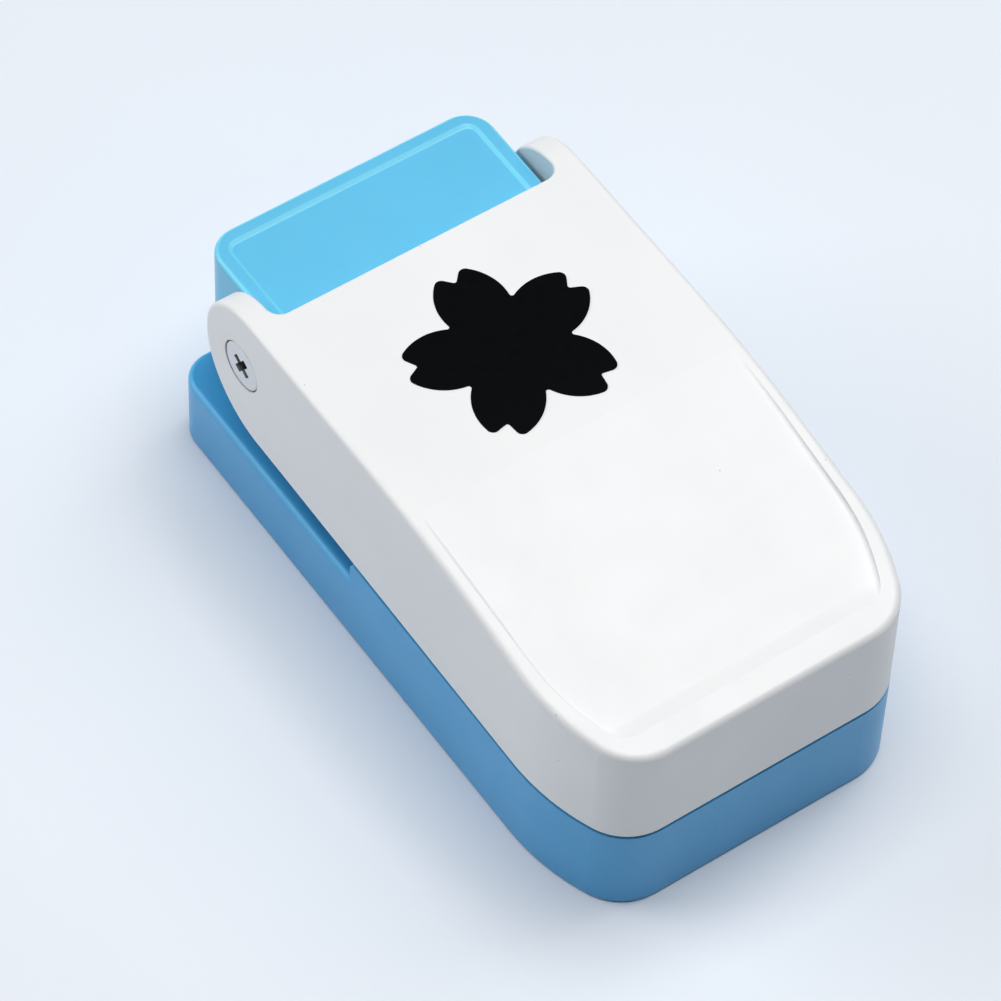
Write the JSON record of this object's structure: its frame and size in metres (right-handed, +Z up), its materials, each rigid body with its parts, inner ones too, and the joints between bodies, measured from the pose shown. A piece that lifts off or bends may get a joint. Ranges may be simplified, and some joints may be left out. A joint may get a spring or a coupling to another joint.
{
  "type": "craft punch",
  "caption": "Hand-size lever punch that cuts a five-petal blossom from paper: sliding blossom punch in a hollow head over a die plate, worked by a hinged lever.",
  "frame": {"origin": "middle of the base's underside, on the surface it stands on", "axes": "+Z up, +Y from the lever's free end towards the pivot and the paper throat, +X across"},
  "size_m": [0.0502, 0.0936, 0.038],
  "materials": {
    "blue_plastic": "sky-blue moulded plastic with a soft satin gloss",
    "head_plastic": "sky-blue moulded plastic, a shade lighter than the base, with a soft satin gloss",
    "white_plastic": "white moulded plastic with a very fine satin grain",
    "cover_plastic": "sky-blue moulded plastic with a fine spark-eroded texture",
    "black_foil": "flat black printed foil",
    "grey_acetal": "slick grey acetal",
    "tool_steel": "ground tool steel with a light oil film",
    "pin_steel": "polished dowel steel",
    "spring_steel": "drawn spring wire",
    "insert_brass": "turned brass",
    "pivot_screw_finish": "pale grey coated steel, satin",
    "zinc_screw": "zinc-plated steel"
  },
  "bodies": {
    "body": {"base_shell": "blue_plastic", "bottom_cover": "cover_plastic", "cover_screws": "zinc_screw", "die_plate": "tool_steel", "throat_spacer": "tool_steel", "guide_plate": "tool_steel", "die_screws": "zinc_screw", "guide_pin_left": "pin_steel", "guide_pin_right": "pin_steel", "head_housing": "head_plastic", "head_screws": "zinc_screw", "pivot_insert_left": "insert_brass", "pivot_insert_right": "insert_brass", "pivot_screw_left": "pivot_screw_finish", "pivot_screw_right": "pivot_screw_finish", "return_spring_left": "spring_steel", "return_spring_right": "spring_steel"},
    "lever": {"lever_shell": "white_plastic", "flower_mark": "black_foil", "press_block": "grey_acetal", "press_block_screws": "zinc_screw"},
    "plunger": {"punch": "tool_steel", "punch_carrier": "grey_acetal", "carrier_screws": "zinc_screw"},
    "lock": {"lock_slider": "white_plastic"}
  },
  "joints": [
    {"name": "lever_pivot", "type": "hinge", "parent": "body", "child": "lever", "pos_m": [0, 0.03105, 0.0283], "axis": [-1, 0, 0], "range_deg": [0, 14]},
    {"name": "punch_slide", "type": "slide", "parent": "body", "child": "plunger", "axis": [0, 0, 1], "range_m": [0, 0.004], "deforming": ["return_spring_left", "return_spring_right"]},
    {"name": "lock_slide", "type": "slide", "parent": "body", "child": "lock", "axis": [0, -1, 0], "range_m": [0, 0.003]}
  ],
  "couplings": [
    {"joint": "punch_slide", "follows": "lever_pivot", "m_per_rad": 0.01634}
  ]
}
